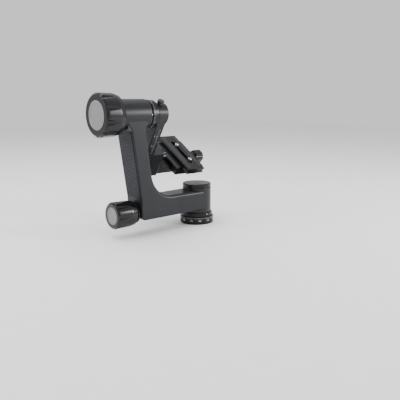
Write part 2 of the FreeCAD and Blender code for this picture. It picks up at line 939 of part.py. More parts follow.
def make_pan_knob():
    body = knob_body(
        "PanKnob",
        "pan_knob",
        d.pan_knob_radius,
        d.pan_knob_length,
        d.pan_knob_edge,
        d.pan_knob_disc_radius,
        d.pan_knob_flutes,
        d.pan_flute_radius,
        d.pan_flute_depth,
        d.pan_rod_radius + d.press_gap,
    )
    place(body, -pan_knob_left, 0, d.pan_lock_height)
    seat = d.knob_disc_thickness + d.knob_disc_sunk
    turned(
        "PanKnobDisc",
        "pan_knob_disc",
        along_x(ring_outline(0, d.pan_knob_disc_radius - 0.1, d.knob_disc_sunk, seat, 0.3)),
        axis="H",
        x=-pan_knob_left,
        z=d.pan_lock_height,
    )
    shoe_left = d.brake_drum_radius + d.slide_gap + d.brake_shoe_length
    turned(
        "PanLockRod",
        "pan_lock_rod",
        along_x(
            ring_outline(0, d.pan_rod_radius, -(pan_knob_left - seat - 0.5), -(shoe_left + d.slide_gap), 0.4),
        ),
        axis="H",
        z=d.pan_lock_height,
    )


def make_arm():
    """The swing arm: a flat bar with a round head on the tilt axis and a dovetail rail inside."""
    body = new_body("SwingArm", "swing_arm")
    half = d.arm_width / 2
    bar = new_sketch(body, "YZ", "BarOutline", -d.arm_left)
    box_outline(bar, (-half, -d.arm_length), (half, 0), None)
    pad(body, bar, d.arm_thickness, name="Bar")
    head = new_sketch(body, "YZ", "HeadOutline", -d.arm_left)
    circle(head, 0, 0, half)
    pad(body, head, d.arm_thickness + d.rail_thickness, name="Head")
    outer_face = -d.arm_left.value
    soften(body, lambda edge, middle: abs(middle.x - outer_face) < 1e-3, d.arm_edge, "Chamfer", "OuterEdges")
    rail = new_sketch(body, "XY", "RailOutline", -d.arm_length)
    neck = d.rail_neck / 2
    wide = d.rail_width / 2
    outline(
        rail,
        [(-arm_right - 0.5, -neck), (-arm_right, -neck), (-rail_right, -wide), (-rail_right, wide),
         (-arm_right, neck), (-arm_right - 0.5, neck)],
    )
    pad(body, rail, d.arm_length, name="Rail")
    bore = new_sketch(body, "YZ", "ShaftBore", -d.arm_left)
    circle(bore, 0, 0, d.tilt_shaft_radius - 2.0)
    doc.recompute()
    pocket(body, bore, name="ShaftBorePocket", reverse=True)
    sink = new_sketch(body, "YZ", "ScrewSink", -rail_right)
    circle(sink, 0, 0, d.hub_screw_radius + 2.5)
    pocket(body, sink, d.hub_screw_sink, name="ScrewSinkPocket")
    thumb = new_sketch(body, "XY", "ThumbBore", half + 1)
    circle(thumb, -d.arm_left + d.arm_thickness / 2, 0, d.thumb_stud_radius + d.running_gap)
    pocket(body, thumb, half - d.tilt_shaft_radius + 2.0, name="ThumbPocket")
    place(body, tilted=True)


def make_hub_screw(seat):
    """The screw with its washer that draws the arm onto the tilt shaft."""
    body = new_body("HubScrew", "arm_hub_screw")
    washer = d.hub_screw_radius + 2.0
    washer_top = seat - 1.2
    face = rail_right + 0.4
    revolve(
        body,
        [
            (-seat - d.hub_thread_length, 0),
            (-seat - d.hub_thread_length, d.hub_thread_radius),
            (-seat, d.hub_thread_radius),
            (-seat, washer),
            (-washer_top, washer),
            (-washer_top, d.hub_screw_radius),
            (-face - 0.4, d.hub_screw_radius),
            (-face, d.hub_screw_radius - 0.5),
            (-face, 0),
        ],
        axis="H",
    )
    socket = new_sketch(body, "YZ", "Socket", -face)
    hexagon(socket, 0, 0, d.large_hex)
    doc.recompute()
    pocket(body, socket, d.large_hex * 0.55, name="SocketCut")
    place(body, tilted=True)


def make_arm_group():
    make_arm()
    core = d.tilt_shaft_radius - 2.0 - d.press_gap
    stud = d.tilt_stud_radius
    thread = d.hub_thread_radius
    screw_seat = rail_right + d.hub_screw_sink
    shaft_shoulder = d.tube_left - 1.0
    insert_end = tilt_knob_left - d.knob_insert_end
    wall = d.knob_insert_wall
    section = ring_outline(stud + d.press_gap, stud + wall, -insert_end + d.body_gap, -shaft_shoulder - d.press_gap)
    turned("TiltSleeve", "tilt_thrust_sleeve", along_x(section), axis="H", tilted=True)
    turned(
        "TiltShaft",
        "tilt_shaft",
        [
            (-tilt_knob_left + d.knob_disc_thickness + 1.6, 0),
            (-tilt_knob_left + d.knob_disc_thickness + 1.6, stud),
            (-shaft_shoulder, stud),
            (-shaft_shoulder, d.tilt_shaft_radius),
            (-d.arm_left - d.press_gap, d.tilt_shaft_radius),
            (-d.arm_left - d.press_gap, core),
            (-screw_seat - 0.5, core),
            (-screw_seat - 0.5, thread + d.press_gap),
            (-screw_seat - d.hub_thread_length - 0.5, thread + d.press_gap),
            (-screw_seat - d.hub_thread_length - 0.5, 0),
        ],
        axis="H",
        tilted=True,
    )
    turned(
        "TiltIndexRing",
        "tilt_index_ring",
        [
            (-tilt_index_left, d.tilt_shaft_radius + d.press_gap),
            (-tilt_index_left, d.tilt_index_radius - 0.5),
            (-tilt_index_left + 0.5, d.tilt_index_radius),
            (-tilt_index_right - 1.0, d.tilt_index_radius - 0.6),
            (-tilt_index_right, d.tilt_index_radius - 1.6),
            (-d.arm_left - d.press_gap, d.arm_width / 2 - 1.0),
            (-d.arm_left - d.press_gap, d.tilt_shaft_radius + d.press_gap),
        ],
        axis="H",
        tilted=True,
    )
    make_hub_screw(screw_seat - d.press_gap)
    head_low = d.arm_width / 2 + d.body_gap
    half = d.arm_width / 2
    stud_bottom = d.tilt_shaft_radius
    screw = new_body("ThumbScrew", "arm_thumb_screw")
    revolve(
        screw,
        [
            (0, stud_bottom),
            (d.thumb_stud_radius, stud_bottom),
            (d.thumb_stud_radius, half + 0.2),
            (d.thumb_screw_radius - 1.4, head_low),
            (d.thumb_screw_radius - 1.4, head_low + 1.4),
            (d.thumb_screw_radius, head_low + 1.8),
            (d.thumb_screw_radius, head_low + d.thumb_screw_height, 0.6),
            (0, head_low + d.thumb_screw_height),
        ],
    )
    knurl = new_sketch(screw, "XY", "Knurl", head_low + 1.4)
    circle(knurl, d.thumb_screw_radius + 0.5, 0, 0.9)
    doc.recompute()
    notch = pocket(screw, knurl, d.thumb_screw_height, name="Notch", reverse=True)
    polar(screw, notch, "Z", 14, "Knurls")
    place(screw, -d.arm_left + d.arm_thickness / 2, 0, 0, tilted=True)
    make_end_stop()


def make_end_stop():
    """A plate screwed under the bar keeps the cradle from sliding off its lower end."""
    body = new_body("EndStop", "arm_end_stop")
    half = d.arm_width / 2
    sketch = new_sketch(body, "XY", "StopOutline", -d.arm_length - d.press_gap)
    box_outline(sketch, (-d.arm_left + 0.4, -half + 0.5), (-rail_right + d.end_stop_reach, half - 0.5), 2.0)
    pad(body, sketch, d.end_stop_thickness, name="StopPlate", reverse=True)
    screws = new_body("StopScrews", "arm_stop_screws")
    for side in (-1, 1):
        across = d.rail_neck / 3 * side
        head = new_sketch(screws, "XY", f"Head{side + 1}", -d.arm_length - d.end_stop_thickness - d.press_gap * 2)
        circle(head, -arm_right - 2.5, across, d.stop_screw_radius)
        pad(screws, head, d.stop_screw_head, name=f"HeadPad{side + 1}", reverse=True)
        under = d.arm_length + d.end_stop_thickness + d.press_gap * 2 + d.stop_screw_head
        socket = new_sketch(screws, "XY", f"Socket{side + 1}", -under)
        hexagon(socket, -arm_right - 2.5, across, d.medium_hex)
        doc.recompute()
        pocket(screws, socket, d.stop_screw_head * 0.6, name=f"SocketCut{side + 1}", reverse=True)
    place(screws, tilted=True)
    place(body, tilted=True)


def make_cradle():
    """The lens cradle: a sleeve that slides on the arm, and a shelf that carries the clamp."""
    body = new_body("Cradle", "cradle")
    half = d.arm_width / 2 + d.slide_gap
    outside = half + d.cradle_cheek
    leg = new_sketch(body, "XY", "LegOutline", -d.cradle_bottom)
    neck = d.rail_neck / 2 + d.slide_gap
    wide = d.rail_width / 2 + d.slide_gap
    rail_left = -arm_right + d.slide_gap
    outline(
        leg,
        [
            (-leg_right, -outside, 3.0),
            (-leg_right, outside, 3.0),
            (-d.arm_left + 0.4, outside, 1.5),
            (-d.arm_left + 0.4, half),
            (rail_left, half),
            (rail_left, neck),
            (-leg_left, wide),
            (-leg_left, -wide),
            (rail_left, -neck),
            (rail_left, -half),
            (-d.arm_left + 0.4, -half),
            (-d.arm_left + 0.4, -outside, 1.5),
        ],
    )
    pad(body, leg, d.cradle_bottom - d.cradle_top, name="Leg")
    shelf = new_sketch(body, "XZ", "ShelfOutline")
    outline(
        shelf,
        [
            (-leg_right - 6.0, -d.cradle_bottom),
            (d.cradle_reach - 5.0, -d.cradle_bottom, 3.0),
            (d.cradle_reach, -d.cradle_seat - 2.0),
            (d.cradle_reach, -d.cradle_seat),
            (-d.clamp_half_width - d.press_gap, -d.cradle_seat),
            (-d.clamp_half_width - d.press_gap, -d.cradle_shoulder, 1.0),
            (-leg_right, -d.cradle_shoulder, 4.0),
            (-leg_right, -d.cradle_shoulder + 9.0),
            (-leg_right - 6.0, -d.cradle_shoulder + 9.0),
        ],
    )
    pad(body, shelf, d.arm_width, midplane=True, name="Shelf")
    doc.recompute()
    stud = new_sketch(body, "YZ", "StudBore", -leg_right)
    circle(stud, 0, -d.height_knob_depth, d.height_stud_radius + d.running_gap)
    pocket(body, stud, d.cradle_leg_thickness + 2, name="StudBorePocket")
    gib = new_sketch(body, "YZ", "GibSeat", -leg_left)
    low = -d.height_knob_depth - d.gib_height / 2
    box_outline(
        gib,
        (-d.gib_width / 2 - 0.1, low - 0.1),
        (d.gib_width / 2 + 0.1, low + d.gib_height + 0.1),
    )
    pocket(body, gib, d.gib_thickness + 0.2, name="GibSeatPocket", reverse=True)
    under = new_sketch(body, "XY", "UnderPocket", -d.cradle_bottom)
    box_outline(under, (-leg_right + 6.0, -10.5), (d.cradle_reach - 10.0, 10.5), 4.0)
    pocket(body, under, 4.0, name="UnderPocketCut", reverse=True)
    place(body, tilted=True)


def make_lobed_knob(name, label, radius, length, x, down, flutes=6):
    """A small lobed knob turned about X, its hub towards -X."""
    body = new_body(name, label)
    revolve(
        body,
        [
            (0, d.height_stud_radius + d.press_gap),
            (0, radius * 0.62),
            (3.0, radius * 0.66, 1.0),
            (4.5, radius * 0.94, 1.0),
            (5.5, radius),
            (length - 1.8, radius),
            (length, radius - 1.8, 0.6),
            (length, radius * 0.62),
            (length - 1.0, radius * 0.62),
            (length - 1.0, d.height_stud_radius + d.press_gap),
        ],
        axis="H",
    )
    flute = new_sketch(body, "YZ", "FluteOutline", 3.2)
    circle(flute, 0, radius * 1.36, radius * 0.5)
    doc.recompute()
    cut = pocket(body, flute, length, name="FluteCut", reverse=True)
    polar(body, cut, "X", flutes, "Flutes")
    place(body, x, 0, -down, tilted=True)
    return body


def make_cradle_group():
    make_cradle()
    gib = new_body("Gib", "height_lock_pad")
    face = new_sketch(gib, "YZ", "PadOutline", -leg_left + 0.1)
    low = -d.height_knob_depth - d.gib_height / 2
    box_outline(face, (-d.gib_width / 2, low), (d.gib_width / 2, low + d.gib_height), 1.0)
    pad(gib, face, d.gib_thickness - 0.1, name="PadBlock")
    place(gib, tilted=True)
    make_lobed_knob(
        "HeightKnob",
        "height_knob",
        d.height_knob_radius,
        d.height_knob_length,
        -height_knob_left,
        d.height_knob_depth,
    )
    turned(
        "HeightStud",
        "height_lock_screw",
        along_x(
            ring_outline(
                0,
                d.height_stud_radius,
                -leg_left + d.gib_thickness + d.slide_gap,
                -height_knob_left + d.height_knob_length - 1.2,
                0.4,
            )
        ),
        axis="H",
        z=-d.height_knob_depth,
        tilted=True,
    )
    make_clamp()


def make_clamp():
    """The dovetail clamp: a base with a fixed jaw, and a jaw that the knob draws in."""
    make_clamp_base()
    make_clamp_jaw()
    pins = new_body("GuidePins", "clamp_guide_pins")
    for side in (-1, 1):
        sketch = new_sketch(pins, "YZ", f"Pin{side + 1}", d.clamp_half_width - d.guide_pin_seat)
        across = d.guide_pin_spacing / 2 * side
        circle(sketch, across, -d.clamp_screw_depth, d.guide_pin_radius - d.press_gap)
        pad(pins, sketch, d.guide_pin_length, name=f"PinPad{side + 1}", reverse=True)
    place(pins, tilted=True)
    make_lobed_knob(
        "ClampKnob",
        "clamp_knob",
        d.clamp_knob_radius,
        d.clamp_knob_length,
        clamp_knob_left,
        d.clamp_screw_depth,
        7,
    )
    screw_end = clamp_knob_left + d.clamp_knob_length - 1.2
    turned(
        "ClampScrew",
        "clamp_screw",
        along_x(ring_outline(0, d.clamp_screw_radius, tongue_right - d.clamp_screw_reach, screw_end, 0.4)),
        axis="H",
        z=-d.clamp_screw_depth,
        tilted=True,
    )
    make_mount_screws()


def make_clamp_base():
    """The clamp's lower block, which the cradle's shelf carries, and the fixed jaw screwed onto it."""
    half = d.clamp_half_width
    floor = -d.clamp_floor
    body = new_body("ClampBody", "clamp_body")
    section = new_sketch(body, "XZ", "BodySection")
    outline(
        section,
        [
            (-half, clamp_seat),
            (tongue_right, clamp_seat),
            (tongue_right, tongue_bottom),
            (d.jaw_split, tongue_bottom),
            (d.jaw_split, floor),
            (-half, floor),
        ],
    )
    pad(body, section, d.clamp_half_length * 2, midplane=True, name="BodyBlock")
    doc.recompute()
    bore = new_sketch(body, "YZ", "ScrewBore", tongue_right)
    circle(bore, 0, -d.clamp_screw_depth, d.clamp_screw_radius + d.running_gap)
    pocket(body, bore, d.clamp_screw_reach + 1.0, name="ScrewBorePocket")
    guide = new_sketch(body, "YZ", "GuideBores", tongue_right)
    for side in (-1, 1):
        circle(guide, d.guide_pin_spacing / 2 * side, -d.clamp_screw_depth, d.guide_pin_radius + d.running_gap)
    pocket(body, guide, d.guide_pin_length - 2.0, name="GuideBorePocket")
    place(body, tilted=True)

    jaw = new_body("ClampFixedJaw", "clamp_fixed_jaw")
    section = new_sketch(jaw, "XZ", "JawSection")
    inner = -d.plate_width / 2 - d.slide_gap * 2
    base = floor + d.press_gap
    outline(
        section,
        [
            (-half, base),
            (inner, base),
            (inner, lip_bottom),
            (inner + lip_rise, -d.clamp_jaw_top),
            (-half + 3.0, -d.clamp_jaw_top, 1.0),
            (-half, -d.clamp_jaw_top - 3.0, 1.0),
        ],
    )
    pad(jaw, section, d.clamp_half_length * 2, midplane=True, name="JawBlock")
    place(jaw, tilted=True)


def make_clamp_jaw():
    """The moving jaw: a lip over the plate's edge and a tongue that slides in the clamp's base."""
    half = d.clamp_half_width
    top = -d.clamp_jaw_top
    floor = -d.clamp_floor
    inner = d.plate_width / 2 + d.slide_gap * 2
    left = tongue_right + d.body_gap
    tongue_left = d.jaw_split + d.body_gap
    tongue_low = tongue_bottom + d.body_gap
    jaw = new_body("ClampJaw", "clamp_jaw")
    section = new_sketch(jaw, "XZ", "JawSection")
    outline(
        section,
        [
            (left, clamp_seat + d.body_gap),
            (half, clamp_seat + d.body_gap, 1.0),
            (half, top - 3.0, 1.0),
            (half - 3.0, top, 1.0),
            (inner - lip_rise, top),
            (inner, lip_bottom),
            (inner, floor),
            (tongue_left, floor),
            (tongue_left, tongue_low),
            (left, tongue_low),
        ],
    )
    pad(jaw, section, d.clamp_half_length * 2, midplane=True, name="JawBlock")
    doc.recompute()
    bore = new_sketch(jaw, "YZ", "ScrewBore", half)
    circle(bore, 0, -d.clamp_screw_depth, d.clamp_screw_radius + d.running_gap)
    pocket(jaw, bore, name="ScrewBorePocket")
    guide = new_sketch(jaw, "YZ", "GuideBores", half - d.guide_pin_seat + d.press_gap)
    for side in (-1, 1):
        circle(guide, d.guide_pin_spacing / 2 * side, -d.clamp_screw_depth, d.guide_pin_radius)
    pocket(jaw, guide, name="GuideBorePocket")
    place(jaw, tilted=True)


def make_mount_screws():
    """Two screws hold the clamp's base on the cradle's shelf."""
    screws = new_body("ClampMountScrews", "clamp_mount_screws")
    for side in (-1, 1):
        across = d.mount_screw_spread * side
        head = new_sketch(screws, "XY", f"Head{side + 1}", mount_head_bottom)
        circle(head, -d.mount_screw_left, across, d.mount_head_radius)
        pad(screws, head, d.mount_head_height, name=f"HeadPad{side + 1}")
        shank = new_sketch(screws, "XY", f"Shank{side + 1}", mount_head_bottom)
        circle(shank, -d.mount_screw_left, across, d.mount_screw_radius)
        pad(screws, shank, d.mount_screw_length, name=f"ShankPad{side + 1}")
        socket = new_sketch(screws, "XY", f"Socket{side + 1}", mount_head_bottom)
        hexagon(socket, -d.mount_screw_left, across, d.medium_hex)
        doc.recompute()
        pocket(screws, socket, d.mount_head_height * 0.6, name=f"SocketCut{side + 1}", reverse=True)
    place(screws, tilted=True)
    cut_mount_screw_holes()


def cut_mount_screw_holes():
    """Holes in the shelf and the clamp for the two screws between them."""
    cradle = doc.getObject("Cradle")
    heads = new_sketch(cradle, "XY", "MountHeads", -d.cradle_bottom)
    shanks = new_sketch(cradle, "XY", "MountShanks", -d.cradle_bottom)
    threads = new_sketch(doc.getObject("ClampBody"), "XY", "MountThreads", -d.cradle_seat)
    for side in (-1, 1):
        across = d.mount_screw_spread * side
        circle(heads, -d.mount_screw_left, across, d.mount_head_radius + d.slide_gap)
        circle(shanks, -d.mount_screw_left, across, d.mount_screw_radius + d.slide_gap)
        circle(threads, -d.mount_screw_left, across, d.mount_screw_radius + d.press_gap)
    doc.recompute()
    head_depth = mount_head_bottom + d.cradle_bottom + d.mount_head_height + d.press_gap
    thread_depth = mount_head_bottom + d.mount_screw_length + d.cradle_seat + 1.0
    pocket(cradle, heads, head_depth, name="MountHeadPocket", reverse=True)
    pocket(cradle, shanks, d.shelf_thickness + 1.0, name="MountShankPocket", reverse=True)
    pocket(doc.getObject("ClampBody"), threads, thread_depth, name="MountThreadPocket", reverse=True)


def make_camera_screw(number, along, low, top):
    """A screw whose head slides in the plate's counterbored slot and whose thread stands above it."""
    body = new_body(f"CameraScrew{number}", f"camera_screw_{number}")
    head = d.camera_screw_head
    head_top = low + d.counterbore_depth - d.press_gap
    revolve(
        body,
        [
            (0, low + 0.6),
            (head - 0.6, low + 0.6),
            (head, low + 1.2),
            (head, head_top),
            (d.camera_screw_neck, head_top),
            (d.camera_screw_neck, top + 0.5),
            (d.camera_screw_radius, top + 0.5),
            (d.camera_screw_radius, top + d.camera_screw_reach - 0.6),
            (d.camera_screw_radius - 0.6, top + d.camera_screw_reach),
            (0, top + d.camera_screw_reach),
        ],
    )
    socket = new_sketch(body, "XY", "Socket", low + 0.6)
    hexagon(socket, 0, 0, d.camera_hex)
    doc.recompute()
    pocket(body, socket, d.camera_hex * 0.6, name="SocketCut", reverse=True)
    place(body, 0, along, 0, tilted=True)


def make_plate():
    """The quick-release plate, its pads, camera screws and stop screws."""
    half = d.plate_width / 2
    low = -plate_bottom
    top = -plate_top
    neck = half - d.plate_bevel
    body = new_body("Plate", "release_plate")
    section = new_sketch(body, "XZ", "PlateSection")
    shoulder = low + d.plate_lip + d.plate_bevel + 1.0
    outline(
        section,
        [
            (-half, low),
            (half, low),
            (half, low + d.plate_lip),
            (neck, low + d.plate_lip + d.plate_bevel),
            (neck, shoulder),
            (half, shoulder + 1.2),
            (half, top, 0.8),
            (-half, top, 0.8),
            (-half, shoulder + 1.2),
            (-neck, shoulder),
            (-neck, low + d.plate_lip + d.plate_bevel),
            (-half, low + d.plate_lip),
        ],
    )
    pad(body, section, d.plate_length, midplane=True, name="PlateBlock")
    doc.recompute()
    slot = new_sketch(body, "XY", "SlotOutline", top)
    wide = d.plate_slot_width / 2
    long = d.plate_slot_length / 2
    box_outline(slot, (-wide, -long), (wide, long), wide - 0.05)
    pocket(body, slot, name="Slot")
    counter = new_sketch(body, "XY", "CounterSlot", low)
    box_outline(
        counter,
        (-d.camera_screw_head - 1.2, -long - 3.0),
        (d.camera_screw_head + 1.2, long + 3.0),
        d.camera_screw_head,
    )
    pocket(body, counter, d.counterbore_depth, name="CounterSlotCut", reverse=True)
    for side in (-1, 1):
        seat = new_sketch(body, "XY", f"PadSeat{side + 1}", top)
        centre = side * (half - d.pad_width / 2 - 2.4)
        box_outline(
            seat,
            (centre - d.pad_width / 2, -d.plate_length / 2 + 4.0),
            (centre + d.pad_width / 2, d.plate_length / 2 - 4.0),
            1.5,
        )
        pocket(body, seat, d.pad_thickness * 0.6, name=f"PadSeatCut{side + 1}")
    stops = new_sketch(body, "XY", "StopHoles", low)
    for side in (-1, 1):
        circle(stops, 0, side * (d.plate_length / 2 - d.plate_stop_inset), d.stop_shank_radius)
    pocket(body, stops, 5.0, name="StopHoleCut", reverse=True)
    place(body, 0, -d.plate_offset, 0, tilted=True)

    for side, word in ((-1, "left"), (1, "right")):
        strip = new_body(f"PlatePad{side + 1}", f"plate_pad_{word}")
        sketch = new_sketch(strip, "XY", "StripOutline", top - d.pad_thickness * 0.6 + d.press_gap)
        centre = side * (half - d.pad_width / 2 - 2.4)
        box_outline(
            sketch,
            (centre - d.pad_width / 2 + 0.05, -d.plate_length / 2 + 4.05),
            (centre + d.pad_width / 2 - 0.05, d.plate_length / 2 - 4.05),
            1.4,
        )
        pad(strip, sketch, d.pad_thickness, name="Strip")
        place(strip, 0, -d.plate_offset, 0, tilted=True)

    make_camera_screw(1, d.camera_screw_front - d.plate_offset, low, top)
    make_camera_screw(2, -d.camera_screw_rear - d.plate_offset, low, top)
    stops = new_body("PlateStops", "plate_stop_screws")
    for side in (-1, 1):
        along = side * (d.plate_length / 2 - d.plate_stop_inset)
        head = new_sketch(stops, "XY", f"Head{side + 1}", low - d.plate_stop_reach)
        circle(head, 0, along, d.plate_stop_radius)
        pad(stops, head, d.plate_stop_reach - d.press_gap, name=f"HeadPad{side + 1}")
        shank = new_sketch(stops, "XY", f"Shank{side + 1}", low - 1.0)
        circle(shank, 0, along, d.stop_shank_radius - d.press_gap)
        pad(stops, shank, 5.5, name=f"ShankPad{side + 1}")
        socket = new_sketch(stops, "XY", f"Socket{side + 1}", low - d.plate_stop_reach)
        hexagon(socket, 0, along, d.small_hex)
        doc.recompute()
        pocket(stops, socket, d.plate_stop_reach * 0.6, name=f"SocketCut{side + 1}", reverse=True)
    place(stops, 0, -d.plate_offset, 0, tilted=True)


def check_and_write():
    """Stops on any failed feature or bad solid, then writes one file for each sub-part."""
    doc.recompute()
    for item in doc.Objects:
        if "Invalid" in item.State or "Error" in item.State:
            raise RuntimeError(f"{item.Name} ({item.Label}) failed: {item.State}")
    for part in made:
        shape = part.Shape
        if shape.isNull() or not shape.isValid() or not shape.Solids:
            raise RuntimeError(f"{part.Label} has no valid solid")
    os.makedirs("parts", exist_ok=True)
    for part in made:
        part.Shape.exportStep(f"parts/{part.Label}.step")
        box = part.Shape.BoundBox
        print(f"{part.Label}: {len(part.Shape.Solids)} solid(s), {part.Shape.Volume:.0f} mm3, "
              f"x {box.XMin:.1f} {box.XMax:.1f} y {box.YMin:.1f} {box.YMax:.1f} z {box.ZMin:.1f} {box.ZMax:.1f}")


make_base_group()
make_frame_group()
make_tilt_knob()
make_pan_knob()
make_arm_group()
make_cradle_group()
make_plate()
check_and_write()
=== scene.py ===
"""Looks of a gimbal tripod head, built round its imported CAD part. Lengths are metres."""

import json
import math

import bpy
from mathutils import Matrix, Vector


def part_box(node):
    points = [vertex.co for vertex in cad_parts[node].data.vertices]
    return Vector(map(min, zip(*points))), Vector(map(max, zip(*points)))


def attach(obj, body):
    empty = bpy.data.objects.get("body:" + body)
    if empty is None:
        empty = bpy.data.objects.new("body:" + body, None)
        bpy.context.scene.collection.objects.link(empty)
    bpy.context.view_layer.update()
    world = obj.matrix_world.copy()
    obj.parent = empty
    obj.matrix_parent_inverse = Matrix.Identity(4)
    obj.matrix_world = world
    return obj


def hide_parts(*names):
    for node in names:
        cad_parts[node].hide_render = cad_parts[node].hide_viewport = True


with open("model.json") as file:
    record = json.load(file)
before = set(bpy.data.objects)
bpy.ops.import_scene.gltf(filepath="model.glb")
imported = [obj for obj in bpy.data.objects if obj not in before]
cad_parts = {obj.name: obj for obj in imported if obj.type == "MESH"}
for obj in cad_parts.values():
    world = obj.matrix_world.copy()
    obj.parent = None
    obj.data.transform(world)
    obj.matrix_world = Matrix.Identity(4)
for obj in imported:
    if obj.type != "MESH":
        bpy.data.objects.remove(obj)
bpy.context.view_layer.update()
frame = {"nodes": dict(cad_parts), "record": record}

MM = 0.001
TILT_HEIGHT = 194.6 * MM
PAN_KNOB_HEIGHT = 37.0 * MM
REST_TILT = math.radians(32.0)
# Turns the arm's own frame, which hangs straight down from the tilt axis, to the stored tilt
TILTED = Matrix.Translation((0, 0, TILT_HEIGHT)) @ Matrix.Rotation(REST_TILT, 4, "X")
UPRIGHT = Matrix.Identity(4)

# Surfaces of the CAD part that carry painted marks
TUBE_RADIUS = 24.25 * MM
SKIRT_RADIUS = 27.5 * MM
PAN_RING_RADIUS = 30.0 * MM
PAN_RING_MARKS_TOP = 12.2 * MM
TILT_RING_RADIUS = 23.2 * MM
ARM_HALF_WIDTH = 18.0 * MM
ARM_EDGE_MIDDLE = -87.0 * MM


# Materials
def node(tree, kind, **values):
    made = tree.nodes.new(kind)
    for name, value in values.items():
        setattr(made, name, value)
    return made


def noise(tree, coords, scale, detail, stretch=None):
    """Noise in the piece's own coordinates, stretched along an axis for brushed metal."""
    if stretch:
        mapping = node(tree, "ShaderNodeMapping")
        mapping.inputs["Scale"].default_value = stretch
        tree.links.new(coords, mapping.inputs["Vector"])
        coords = mapping.outputs["Vector"]
    made = node(tree, "ShaderNodeTexNoise")
    made.inputs["Scale"].default_value = scale
    made.inputs["Detail"].default_value = detail
    tree.links.new(coords, made.inputs["Vector"])
    return made.outputs["Fac"]


def spread(tree, source, low, high):
    """Maps noise, which mostly lies between 0.3 and 0.7, to a range of values."""
    made = node(tree, "ShaderNodeMapRange")
    made.inputs["From Min"].default_value = 0.3
    made.inputs["From Max"].default_value = 0.7
    made.inputs["To Min"].default_value = low
    made.inputs["To Max"].default_value = high
    tree.links.new(source, made.inputs["Value"])
    return made.outputs["Result"]


def surface(
    name,
    colour,
    rough,
    metal=0.0,
    vary=0.12,
    grain=900.0,
    bump=0.0,
    depth=0.00002,
    stretch=None,
    specular=0.5,
):
    """A procedural finish: colour and roughness vary a little, and fine grain stands in the surface."""
    made = bpy.data.materials.new(name)
    made.use_nodes = True
    tree = made.node_tree
    shader = tree.nodes["Principled BSDF"]
    coords = node(tree, "ShaderNodeTexCoord").outputs["Object"]
    shader.inputs["Metallic"].default_value = metal
    shader.inputs["Specular IOR Level"].default_value = specular
    broad = noise(tree, coords, 45.0, 3.0)
    mix = node(tree, "ShaderNodeMix", data_type="RGBA")
    mix.inputs["A"].default_value = (*[c * (1 - vary) for c in colour], 1)
    mix.inputs["B"].default_value = (*[min(c * (1 + vary), 1) for c in colour], 1)
    tree.links.new(spread(tree, broad, 0, 1), mix.inputs["Factor"])
    tree.links.new(mix.outputs["Result"], shader.inputs["Base Color"])
    fine = noise(tree, coords, grain, 5.0, stretch)
    uneven = spread(tree, fine, rough * 0.88, min(rough * 1.12, 1.0))
    tree.links.new(uneven, shader.inputs["Roughness"])
    if bump:
        relief = node(tree, "ShaderNodeBump")
        relief.inputs["Strength"].default_value = bump
        relief.inputs["Distance"].default_value = depth
        tree.links.new(fine, relief.inputs["Height"])
        tree.links.new(relief.outputs["Normal"], shader.inputs["Normal"])
    return made


# Each finish: its colour, its roughness and the values that differ from the usual ones
FINISHES = {
    "cast_black": ((0.010, 0.011, 0.014), 0.36, dict(bump=0.4, grain=1500.0, depth=0.00004, specular=0.3)),
    "turned_black": ((0.006, 0.006, 0.007), 0.3, dict(vary=0.05, bump=0.04, grain=1600.0, specular=0.26)),
    "knob_rubber": ((0.008, 0.008, 0.010), 0.24, dict(bump=0.06, grain=1800.0, specular=0.3)),
    "pan_rubber": ((0.005, 0.005, 0.006), 0.15, dict(bump=0.04, grain=1800.0, specular=0.38)),
    "disc_grey": ((0.19, 0.19, 0.192), 0.38, dict(vary=0.03, bump=0.1, grain=1600.0)),
    "grip_rubber": ((0.015, 0.016, 0.022), 0.5, dict(bump=0.3, grain=1400.0, specular=0.35)),
    "clamp_black": ((0.005, 0.005, 0.006), 0.36, dict(bump=0.15, grain=1200.0, specular=0.3)),
    "steel": ((0.60, 0.60, 0.60), 0.26, dict(metal=1.0, bump=0.1, stretch=(1, 8, 8))),
    "thumb_black": ((0.010, 0.010, 0.011), 0.25, dict(bump=0.1)),
    "brass": ((0.70, 0.55, 0.25), 0.3, dict(metal=1.0, bump=0.1)),
    "aluminium": ((0.60, 0.60, 0.62), 0.32, dict(metal=1.0, bump=0.1)),
    "paint_white": ((0.55, 0.55, 0.54), 0.5, dict(vary=0.04)),
}
FINISH = {name: surface(name, colour, rough, **more) for name, (colour, rough, more) in FINISHES.items()}

for item in frame["record"]["subparts"]:
    part = frame["nodes"][item["node"]]
    part.data.materials.clear()
    part.data.materials.append(FINISH[item["material_slot"]])


# Mesh helpers
def piece(name, body, slot, points, faces, where=UPRIGHT, finish=None, sharp=35.0):
    """A mesh that rides a body, with the finish of a material slot."""
    mesh = bpy.data.meshes.new(name)
    mesh.from_pydata([tuple(where @ Vector(p)) for p in points], [], faces)
    mesh.validate()
    mesh.update()
    mesh.shade_smooth()
    mesh.set_sharp_from_angle(angle=math.radians(sharp))
    made = bpy.data.objects.new(name, mesh)
    bpy.context.scene.collection.objects.link(made)
    mesh.materials.append(FINISH[finish or slot])
    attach(made, body)
    return made


def add(points, faces, more, more_faces):
    """Adds one shape's points and faces to a bigger list."""
    start = len(points)
    points.extend(more)
    faces.extend([tuple(start + i for i in face) for face in more_faces])


